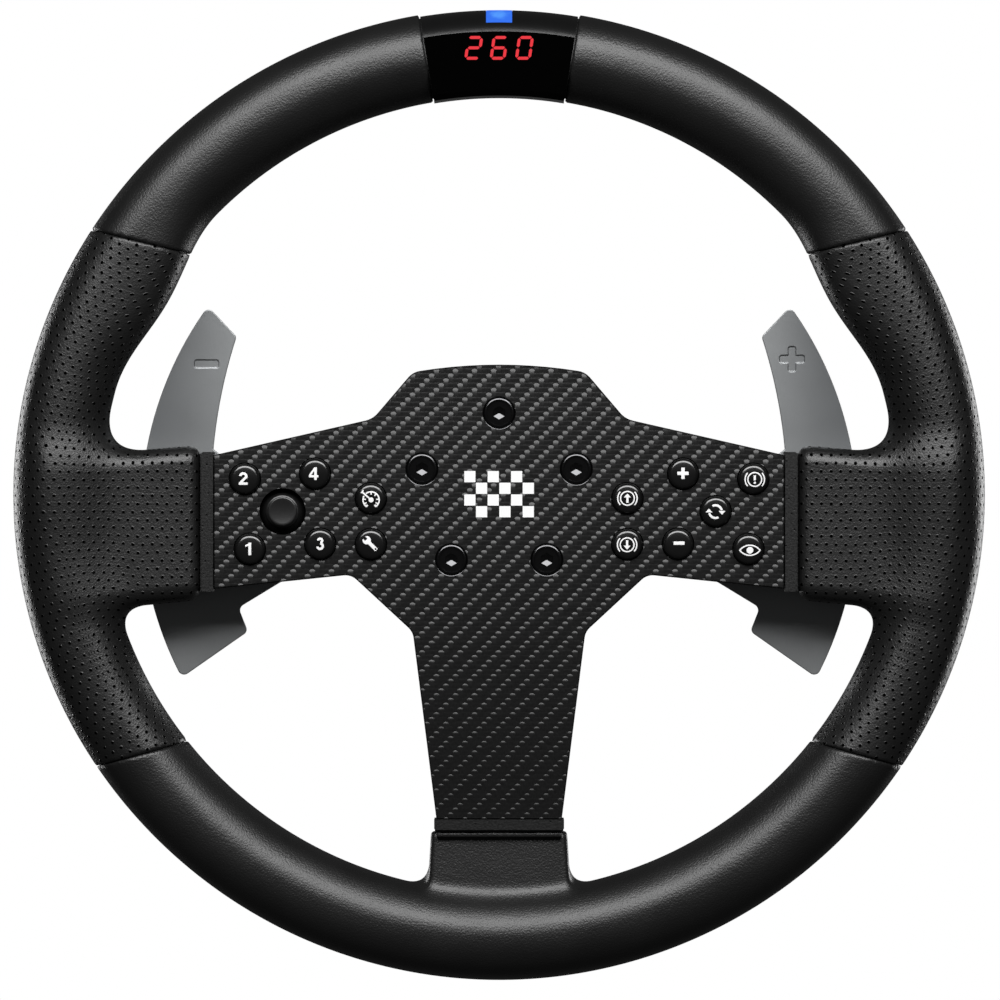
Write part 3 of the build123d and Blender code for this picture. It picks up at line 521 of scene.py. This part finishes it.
def rounded_bar(gap_a, gap_b, radius):
    """A bar with rounded edges, from the distances outside its two pairs of sides."""
    a, b = gap_a + radius, gap_b + radius
    return np.hypot(np.maximum(a, 0), np.maximum(b, 0)) + np.minimum(np.maximum(a, b), 0) - radius


SIDE_BOSS_END, SIDE_BOSS_HALF, SIDE_BOSS_EDGE, SIDE_BOSS_ROLL = 92.2, 10.6, 5.5, 5.0
SIDE_BOSS_TOP, SIDE_BOSS_BOTTOM, SIDE_BOSS_X = 15.1, -33.0, 95  # its heights, at that distance out
TOP_SLOPE, BOTTOM_SLOPE = 0.1, 0.09


def side_boss(x, y, z):
    x = np.abs(x)
    top = SIDE_BOSS_TOP - TOP_SLOPE * (x - SIDE_BOSS_X)
    bottom = SIDE_BOSS_BOTTOM - BOTTOM_SLOPE * (x - SIDE_BOSS_X)
    bar = rounded_bar(np.abs(y - RIM_Y) - SIDE_BOSS_HALF, np.maximum(z - top, bottom - z), SIDE_BOSS_EDGE)
    ends = np.maximum(SIDE_BOSS_END - x, np.hypot(x, z) - RING_R)
    return smooth_max(bar, ends, SIDE_BOSS_ROLL)


LOWER_BOSS_END, LOWER_BOSS_Y, LOWER_BOSS_HALF, LOWER_BOSS_EDGE = -104.3, -76.2, 8.2, 2.0
LOWER_BOSS_WIDE, LOWER_BOSS_ROLL = 21.0, 1.2
WIDE_SLOPE, DEEP_SLOPE = 0.06, 0.04


def lower_boss(x, y, z):
    ends = np.maximum(z - LOWER_BOSS_END, np.hypot(x, z) - RING_R)
    below = LOWER_BOSS_END - z
    depth = np.abs(y - LOWER_BOSS_Y) - LOWER_BOSS_HALF - DEEP_SLOPE * below
    width = np.abs(x) - LOWER_BOSS_WIDE - WIDE_SLOPE * below
    return smooth_max(rounded_bar(width, depth, LOWER_BOSS_EDGE), ends, LOWER_BOSS_ROLL)


def beyond(seam, x, z):
    """How far a point lies above a seam's line."""
    (x0, z0), (x1, z1) = seam
    length = math.hypot(x1 - x0, z1 - z0)
    return ((z - z0) * (x1 - x0) - (np.abs(x) - x0) * (z1 - z0)) / length


def upper_grip_field(x, y, z):
    pod = math.radians(POD_ANGLE)
    to_pod = z * math.sin(pod) - np.abs(x) * math.cos(pod) + SEAM_GAP
    ends = np.maximum(to_pod, SEAM_GAP - beyond(UPPER_SEAM, x, z))
    return smooth_max(rim_field(x, y, z), ends, SEAM_ROLL)


def side_grip_field(x, y, z):
    reach = 11.5 + 2.5 * np.tanh((z + 10) / 12)
    skin = smooth_min(rim_field(x, y, z), side_boss(x, y, z), reach)
    ends = np.maximum(beyond(UPPER_SEAM, x, z), -beyond(LOWER_SEAM, x, z)) + SEAM_GAP
    return smooth_max(skin, ends, SEAM_ROLL)


def lower_grip_field(x, y, z):
    middle = np.clip(1.4 - np.abs(y - LOWER_BOSS_Y) / 6, 0, 1)
    skin = smooth_min(rim_field(x, y, z), lower_boss(x, y, z), 3.5 + 3.5 * middle)
    return smooth_max(skin, beyond(LOWER_SEAM, x, z) + SEAM_GAP, SEAM_ROLL)


BOSS_MIDDLE = -9  # the side boss's middle height, about which its holes run in flat rows


def map_skin(piece):
    """The perforations' map: along the rim and round its section, going flat over the boss."""
    mesh = piece.data
    points = np.zeros(len(mesh.vertices) * 3)
    mesh.vertices.foreach_get("co", points)
    points = points.reshape(-1, 3) / MM
    normals = np.zeros(len(mesh.polygons) * 3)
    mesh.polygons.foreach_get("normal", normals)
    normals = normals.reshape(-1, 3)
    corner = np.zeros(len(mesh.loops), int)
    mesh.loops.foreach_get("vertex_index", corner)
    face = np.repeat(np.arange(len(mesh.polygons)), [p.loop_total for p in mesh.polygons])
    x, y, z = points[corner].T
    x = np.abs(x)
    radius = np.hypot(x, z)
    around = RING_R * np.arctan2(z, x)
    section = np.arctan2(RING_R - radius, RIM_Y - y)
    section = np.where(section < -math.pi * 0.75, section + 2 * math.pi, section)
    middle = np.bincount(face, section) / np.bincount(face)
    section = np.where(section - middle[face] > 2, section - 2 * math.pi, section)
    arc = section * (GRIP_RADIAL + GRIP_DEPTH) / 2
    half_turn = math.pi * (GRIP_RADIAL + GRIP_DEPTH) / 2
    front = y < RIM_Y
    flat = np.where(front, RING_R - x, half_turn - (RING_R - x))

    def ease(t):
        t = np.clip(t, 0, 1)
        return t * t * (3 - 2 * t)

    off_boss = np.abs(z - BOSS_MIDDLE)
    on_boss = ease((50 - off_boss) / 14) * ease((RING_R - radius) / 4)
    v = arc + (flat - arc) * on_boss
    inner = ease((134 - radius) / 22)
    u = around + (z - around) * inner
    edge_on = (np.abs(normals[:, 2]) > 0.75)[face] & (radius < 120) & (off_boss < 40)
    u = np.where(edge_on, y, u)
    v = np.where(edge_on, x, v)
    layer = mesh.uv_layers.new(name="skin")
    layer.data.foreach_set("uv", np.stack([u, v], 1).ravel())


def make_grips():
    depth = (RIM_Y - GRIP_DEPTH - 2, RIM_Y + GRIP_DEPTH + 2)
    step = 0.85
    skins = {
        "grip_upper": (upper_grip_field, (18, depth[0], 68), (130, depth[1], 153), "smooth_leather"),
        "grip_side": (side_grip_field, (88, depth[0], -90), (153, depth[1], 88), "perforated_leather"),
    }
    for name, (field, low, high, slot_name) in skins.items():
        points, quads = net(field, low, high, step)
        for side in SIDES:
            node = f"{name}_{side}"
            placed, faces = on_side(points, quads, side)
            piece = add_piece(node + "_skin", placed, faces, slot_name, body_of_node(node), [node])
            if slot_name == "perforated_leather":
                map_skin(piece)
    points, quads = net(lower_grip_field, (-128, depth[0], -153), (128, depth[1], -72), step)
    add_piece("grip_lower_skin", points, quads, "smooth_leather", body_of_node("grip_lower"), ["grip_lower"])


make_grips()


def make_lower_lip():
    """The folded edge of the lower sleeve, tucked under the trim strip."""
    low, high = box_mm("spoke_trim_lower")
    half = (high[0] - low[0]) / 2 - 0.6
    top = low[2] - 0.05
    front = low[1] + 1.6
    half_tall, half_deep = 0.8, 2.2

    def field(x, y, z):
        tall = np.abs(z - top + half_tall) - half_tall
        bar = rounded_bar(tall, np.abs(y - front - half_deep) - half_deep, 0.45)
        return smooth_max(bar, np.abs(x) - half, 0.5)

    size = (half + 1, front - 1, top - 2.6)
    points, quads = net(field, (-size[0], size[1], size[2]), (size[0], front + 6, top + 1), 0.32)
    add_piece("lower_sleeve_lip", points, quads, "smooth_leather", ROOT)


make_lower_lip()


def make_seam_cores():
    """Thin dark discs inside the seams, so that no light comes through between two skins."""
    low, high = (16, -94, -96), (127, -64, 150)
    pod = math.radians(POD_ANGLE)
    half_thick, under_skin = 0.8, 1.1

    def field(x, y, z):
        to_pod = z * math.sin(pod) - x * math.cos(pod)
        planes = [beyond(UPPER_SEAM, x, z), beyond(LOWER_SEAM, x, z), to_pod]
        near = np.minimum(np.minimum(np.abs(planes[0]), np.abs(planes[1])), np.abs(planes[2]))
        return smooth_max(rim_field(x, y, z) + under_skin, near - half_thick, 0.3)

    points, quads = net(field, low, high, 0.7)
    for side in SIDES:
        add_piece(f"seam_cores_{side}", *on_side(points, quads, side), "black_plastic", ROOT)


make_seam_cores()


# ---- Turned pieces ----
def bow(start, control, end, count=8):
    """Points along a curve from start towards control and on to end, both ends included."""
    t = np.linspace(0, 1, count)[:, None]
    a, b, c = (np.array(p, float) for p in (start, control, end))
    return [tuple(p) for p in (1 - t) ** 2 * a + 2 * t * (1 - t) * b + t**2 * c]


def round_part(centre, radius, start, end):
    """Ten points of radius and depth on an arc; angles are from straight forward, in degrees."""
    turn = np.radians(np.linspace(start, end, 10))
    return [(centre[0] + radius * math.sin(t), centre[1] - radius * math.cos(t)) for t in turn]


def lathe(profile, x, z):
    """Points and faces turned about a line along Y. A profile point is a radius and a depth, and the
    number of flats where that ring is a polygon; the profile starts and ends on the line."""
    turns = 72
    angle = np.arange(turns) * 2 * math.pi / turns
    points = [(x, profile[0][1], z)]
    for radius, depth, *flats in profile[1:-1]:
        out = np.full(turns, radius)
        if flats:
            part = 2 * math.pi / flats[0]
            out = radius / np.cos(angle % part - part / 2)
        points += list(zip(x + out * np.sin(angle), np.full(turns, depth), z + out * np.cos(angle)))
    points.append((x, profile[-1][1], z))
    last = len(points) - 1
    faces = []
    for i in range(turns):
        j = (i + 1) % turns
        faces.append((0, 1 + i, 1 + j))
        for ring_start in range(1, last - turns, turns):
            a, b = ring_start, ring_start + turns
            faces.append((a + i, b + i, b + j, a + j))
        faces.append((last - turns + i, last, last - turns + j))
    return points, faces


def merged(shapes):
    """Several shapes' points and faces as one."""
    points, faces = [], []
    for more_points, more_faces in shapes:
        start = len(points)
        points += list(more_points)
        faces += [tuple(start + i for i in face) for face in more_faces]
    return points, faces


BUTTON_R, BUTTON_FLANGE, FLANGE_THICKNESS, STEM_R = 4.7, 1.1, 1.0, 1.5
CROWN_R, CROWN_DROP = 3.45, 0.21
SHOULDER_DROP = 1.3
PLATE_BACK = box_mm("face_plate")[1][1]


def button_profile(front, stem_end):
    """A gently crowned face, a round shoulder, the flange behind the plate, and the stem."""
    flange = PLATE_BACK + 0.1
    crown = [(r, front + CROWN_DROP * (r / CROWN_R) ** 2) for r in np.linspace(0, CROWN_R, 9)]
    ledge = bow(crown[-1], (3.66, front + CROWN_DROP + 0.035), (3.9, front + CROWN_DROP + 0.12), 6)
    shoulder = bow(ledge[-1], (4.5, front + CROWN_DROP + 0.42), (BUTTON_R, front + SHOULDER_DROP), 10)
    return [
        *crown,
        *ledge[1:],
        *shoulder[1:],
        (BUTTON_R, flange - 0.2),
        (BUTTON_R + BUTTON_FLANGE, flange),
        (BUTTON_R + BUTTON_FLANGE, flange + FLANGE_THICKNESS),
        (STEM_R, flange + FLANGE_THICKNESS),
        (STEM_R, stem_end),
        (0, stem_end),
    ]


def make_buttons():
    for node in sorted(NODES):
        if node.startswith("button_") and body_of_node(node) != ROOT:
            low, high = box_mm(node)
            profile = button_profile(low[1], high[1])
            points, faces = lathe(profile, (low[0] + high[0]) / 2, (low[2] + high[2]) / 2)
            add_piece(node + "_cap", points, faces, "button_black", body_of_node(node), [node], sharp=40)


BOLT_HEAD_R, BOLT_R, BOLT_HEAD_DEPTH = 5.05, 2.5, 0.75
CAD_HEAD_R = 5.1


def bolt_profile(end):
    """A countersunk screw: a hollow head with a rounded rim, a six-sided socket, and the shank."""
    head_end = BOLT_HEAD_DEPTH + BOLT_HEAD_R - BOLT_R
    steps = [(0, 1.56), (0.25, 1.45, 6), (1.7, 0.94, 6), (1.8, 0.75, 6), (3.73, 0.74), (3.75, 0.1)]
    steps += [(3.9, 0.0), *bow((4.15, 0.0), (4.55, 0.06), (4.8, 0.35)), (4.88, 0.27)]
    steps += [(BOLT_HEAD_R, 0.21), (BOLT_HEAD_R, BOLT_HEAD_DEPTH)]
    steps += [(BOLT_R, head_end), (BOLT_R, end - PLATE_FRONT), (0, end - PLATE_FRONT)]
    return [(radius, PLATE_FRONT + depth, *flats) for radius, depth, *flats in steps]


def make_bolts():
    low, high = box_mm("hub_bolts")
    circle = high[2] - CAD_HEAD_R
    places = [(circle * math.sin(a), circle * math.cos(a)) for a in np.radians(72) * np.arange(5)]
    points, faces = merged(lathe(bolt_profile(high[1]), x, z) for x, z in places)
    add_piece("hub_bolt_screws", points, faces, "black_bolt", ROOT, ["hub_bolts"], sharp=30)


def make_stick():
    """The dished cap on its neck, the domed skirt under it, and the well for the post."""
    low, high = box_mm("stick_cap")
    x, z, front = (low[0] + high[0]) / 2, (low[2] + high[2]) / 2, low[1]
    pivot = (0, front + 10.7)
    outer, inner = 7.5, 6.6
    dish_r, dish = 4.05, 0.3
    profile = [(r, front + dish - dish * (r / dish_r) ** 2) for r in np.linspace(0, dish_r, 9)]
    profile += [(4.12, front + 0.01), (4.38, front + 0.1)]
    profile += bow((4.42, front + 0.14), (4.52, front + 0.3), (4.53, front + 0.8), 4)
    profile += [(4.56, front + 0.9), (4.62, front + 0.92), (4.86, front + 1.01), (4.94, front + 1.5)]
    profile += [(4.94, front + 2.5), (4.7, front + 2.6), (3.2, front + 2.7)]
    profile += [(2.8, pivot[1] - 7.1), *round_part(pivot, outer, 24, 66.4)]
    profile += [*round_part(pivot, inner, 63, 20), (2.2, pivot[1] - 3.4), (1.35, pivot[1] - 3.4)]
    profile += [(1.35, pivot[1] - 6.3), (0, pivot[1] - 6.3)]
    points, faces = lathe(profile, x, z)
    body = body_of_node("stick_cap")
    add_piece("stick_cap_body", points, faces, "stick_rubber", body, ["stick_cap"], sharp=40)


make_buttons()
make_bolts()
make_stick()


# ---- Printed marks ----
def bar(x, z, ax, az, bx, bz, width):
    """Distance from a straight stroke with square ends."""
    length = math.hypot(bx - ax, bz - az)
    along = ((x - ax) * (bx - ax) + (z - az) * (bz - az)) / length
    across = ((z - az) * (bx - ax) - (x - ax) * (bz - az)) / length
    return np.maximum(np.abs(along - length / 2) - length / 2, np.abs(across) - width / 2)


def bend(x, z, cx, cz, radius, width, start, end):
    """Distance from a round stroke between two clock angles."""
    middle, half = math.radians(start + end) / 2, math.radians(end - start) / 2
    angle = np.arctan2(x - cx, z - cz) - middle
    angle = np.abs((angle + math.pi) % (2 * math.pi) - math.pi)
    return np.maximum(np.abs(np.hypot(x - cx, z - cz) - radius) - width / 2, (angle - half) * radius)


def ring(x, z, cx, cz, radius, width):
    return np.abs(np.hypot(x - cx, z - cz) - radius) - width / 2


def disc(x, z, cx, cz, radius):
    return np.hypot(x - cx, z - cz) - radius


def head(x, z, tip_x, tip_z, direction, length, half_width):
    """Distance from an arrow head; direction is a clock angle."""
    t = math.radians(direction)
    back = (tip_x - x) * math.sin(t) + (tip_z - z) * math.cos(t)
    side = np.abs((x - tip_x) * math.cos(t) - (z - tip_z) * math.sin(t))
    slope = math.hypot(length, half_width)
    return np.maximum((side * length - back * half_width) / slope, back - length)


def least(*fields):
    result = fields[0]
    for field in fields[1:]:
        result = np.minimum(result, field)
    return result


def mark_one(x, z):
    return least(bar(x, z, 0.4, -1.95, 0.4, 1.95, 0.9), bar(x, z, -1.0, 0.86, 0.5, 1.6, 0.62))


def mark_two(x, z):
    top = bend(x, z, 0, 0.62, 0.93, 0.8, -82, 122)
    return least(top, bar(x, z, 0.86, 0.42, -1.02, -1.5, 0.78), bar(x, z, -1.4, -1.57, 1.4, -1.57, 0.76))


def mark_three(x, z):
    return least(bend(x, z, 0, 0.95, 0.64, 0.74, -85, 178), bend(x, z, 0, -0.75, 0.83, 0.76, 0, 263))


def mark_four(x, z):
    slope = bar(x, z, 0.42, 1.75, -1.28, -0.62, 0.62)
    return least(bar(x, z, 0.55, -1.95, 0.55, 1.95, 0.82), bar(x, z, -1.5, -0.8, 1.45, -0.8, 0.72), slope)


def mark_plus(x, z):
    return least(bar(x, z, -1.75, 0, 1.75, 0, 1.05), bar(x, z, 0, -1.75, 0, 1.75, 1.05))


def mark_minus(x, z):
    return bar(x, z, -1.7, 0, 1.7, 0, 1.05)


def in_brackets(x, z):
    """A ring between two brackets, as used for braking and traction aids."""
    left = bend(x, z, 0, 0, 2.98, 0.42, -133, -47)
    right = bend(x, z, 0, 0, 2.98, 0.42, 47, 133)
    return least(ring(x, z, 0, 0, 2.12, 0.42), left, right)


def mark_brake(x, z):
    stem = np.maximum(bar(x, z, 0, -0.3, 0, 1.3, 0.74), np.abs(x) - 0.26 - 0.06 * (z + 1))
    return least(in_brackets(x, z), stem, disc(x, z, 0, -1.02, 0.37))


def mark_up(x, z):
    return least(in_brackets(x, z), bar(x, z, 0, -1.4, 0, 0.3, 0.72), head(x, z, 0, 1.5, 0, 1.25, 1.12))


def mark_down(x, z):
    return mark_up(x, -z)


def mark_cycle(x, z):
    half = []
    for sign in (1, -1):
        u, w = x * sign, z * sign
        half.append(bend(u, w, 0, 0, 1.95, 0.72, -28, 78))
        half.append(head(u, w, 2.02, -0.95, 180, 1.2, 1.12))
    return least(*half)


def mark_eye(x, z):
    lens = np.hypot(x, np.abs(z) + 2.35) - 4.1
    lid = np.abs(lens + 0.2) - 0.22
    return least(lid, disc(x, z, 0, 0, 1.05))


def mark_gauge(x, z):
    dial = bend(x, z, 0, 0, 2.5, 0.46, -40, 142)
    dial = least(dial, bend(x, z, 0, 0, 2.5, 0.46, -142, -60), disc(x, z, 0, 0, 0.78))
    needle = least(bar(x, z, 0, 0, -2.75, 2.45, 0.5), bar(x, z, -3.1, 2.1, -2.35, 2.95, 0.42))
    ticks = [
        bar(x, z, r * math.sin(t), r * math.cos(t), 2.4 * math.sin(t), 2.4 * math.cos(t), 0.42)
        for t, r in ((math.radians(a), 1.6) for a in (-120, -84, 0, 40, 84, 120))
    ]
    feet = [bar(x, z, s * 1.05, -1.55, s * 1.65, -2.1, 0.6) for s in (-1, 1)]
    return least(dial, needle, *ticks, *feet)


def mark_wrench(x, z):
    """An open-ended spanner leaning to the left, with a hole through its handle."""
    c = math.sqrt(0.5)
    along, across = (z - x) * c, (z + x) * c
    jaw = np.maximum(disc(across, along, 0, 1.55, 1.28), -bar(across, along, 0, 1.75, 0, 4.0, 1.02))
    handle = bar(across, along, 0, -2.75, 0, 1.0, 1.12)
    return np.maximum(least(jaw, handle), -disc(across, along, 0, -2.3, 0.3))


MARKS = {
    "button_one": (mark_one, -0.35, 0.0),
    "button_two": (mark_two, -0.45, 0.1),
    "button_three": (mark_three, 0.0, 0.0),
    "button_four": (mark_four, -0.35, 0.0),
    "button_cruise": (mark_gauge, 0.1, -0.5),
    "button_wrench": (mark_wrench, -0.15, 0.1),
    "button_brake": (mark_brake, 0.4, -0.2),
    "button_view": (mark_eye, 0.4, -0.4),
    "button_plus": (mark_plus, -0.1, 0.1),
    "button_minus": (mark_minus, 0.3, 0.2),
    "button_cycle": (mark_cycle, -0.1, -0.1),
    "button_traction_up": (mark_up, 0.0, 0.0),
    "button_traction_down": (mark_down, -0.1, -0.2),
}
PRINT_PROUD, PRINT_SUNK, PRINT_REACH = 0.04, 0.14, 3.7


def make_marks():
    step = ((0.1, 0.05, 0.1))
    for node, (mark, shift_x, shift_z) in MARKS.items():
        low, high = box_mm(node)
        cx, cz, front = (low[0] + high[0]) / 2, (low[2] + high[2]) / 2, low[1]

        def field(x, y, z):
            skin = y - front - CROWN_DROP * ((x - cx) ** 2 + (z - cz) ** 2) / CROWN_R**2
            layer = np.maximum(-skin - PRINT_PROUD, skin - PRINT_SUNK)
            return smooth_max(mark(x - cx - shift_x, z - cz - shift_z), layer, 0.03)

        low = (cx - PRINT_REACH, front - 0.2, cz - PRINT_REACH)
        high = (cx + PRINT_REACH, front + 0.9, cz + PRINT_REACH)
        points, quads = net(field, low, high, step)
        add_piece(node + "_print", points, quads, "white_print", body_of_node(node))


make_marks()


# ---- Camera, light and floor ----
LIGHT_AIM = (0.0, -0.08, 0.0)
SENSOR = 36.0
FLOOR_GLOW, FILL_LIGHT = 0.6, 0.045


def make_camera():
    """Straight on from 3 m, with the photograph's framing."""
    distance, width, aim_x, aim_z = 3000.0, 308.0, 0.28, -1.8
    data = bpy.data.cameras.new("camera")
    data.sensor_width = SENSOR
    data.lens = SENSOR * distance / width
    camera = bpy.data.objects.new("camera", data)
    camera.location = (aim_x * MM, (PLATE_FRONT - distance) * MM, aim_z * MM)
    camera.rotation_euler = (math.pi / 2, 0, 0)
    bpy.context.scene.collection.objects.link(camera)
    bpy.context.scene.camera = camera


def add_light(name, place, size, power):
    """A lamp aimed at the wheel's face, not itself in the picture; place and size are metres."""
    data = bpy.data.lights.new(name, "AREA")
    data.shape = "RECTANGLE"
    data.size, data.size_y = size
    data.energy = power
    light = bpy.data.objects.new(name, data)
    light.location = place
    light.visible_camera = False
    away = light.location.copy()
    for i in range(3):
        away[i] -= LIGHT_AIM[i]
    light.rotation_euler = away.to_track_quat("Z", "Y").to_euler()
    bpy.context.scene.collection.objects.link(light)


def make_stage():
    """A pale floor that neither lights nor mirrors in the wheel, a white backdrop, and three lamps."""
    bpy.ops.mesh.primitive_circle_add(vertices=96, radius=2.6, fill_type="NGON", location=(0, 0, -0.33))
    floor = bpy.context.object
    floor.name = "floor"
    look = Look("floor_paint", 0.86, 0.6)
    look.set("Base Color", look.mix(look.noise(300.0), 0.84, 0.88))
    look.set("Emission Color", (0.8, 0.8, 0.8, 1.0))
    look.set("Emission Strength", FLOOR_GLOW)
    floor.data.materials.append(look.material)
    floor.visible_diffuse = floor.visible_glossy = False
    world = bpy.data.worlds.new("studio")
    bpy.context.scene.world = world
    world.use_nodes = True
    nodes, links = world.node_tree.nodes, world.node_tree.links
    seen, fill = nodes["Background"], nodes.new("ShaderNodeBackground")
    seen.inputs[0].default_value = (1.0, 1.0, 1.0, 1.0)
    fill.inputs[0].default_value = (1.0, 1.0, 1.0, 1.0)
    fill.inputs[1].default_value = FILL_LIGHT
    ray, either = nodes.new("ShaderNodeLightPath"), nodes.new("ShaderNodeMixShader")
    links.new(ray.outputs["Is Camera Ray"], either.inputs[0])
    links.new(fill.outputs[0], either.inputs[1])
    links.new(seen.outputs[0], either.inputs[2])
    links.new(either.outputs[0], nodes["World Output"].inputs[0])
    add_light("key", (0.04, -0.99, 0.7), (1.4, 0.62), 26)
    add_light("left_strip", (-0.98, 0.95, 0.0), (0.3, 0.8), 6.4)
    add_light("right_strip", (0.98, 0.95, 0.0), (0.3, 0.8), 6.4)
    bpy.context.scene.view_settings.view_transform = "Standard"


make_camera()
make_stage()
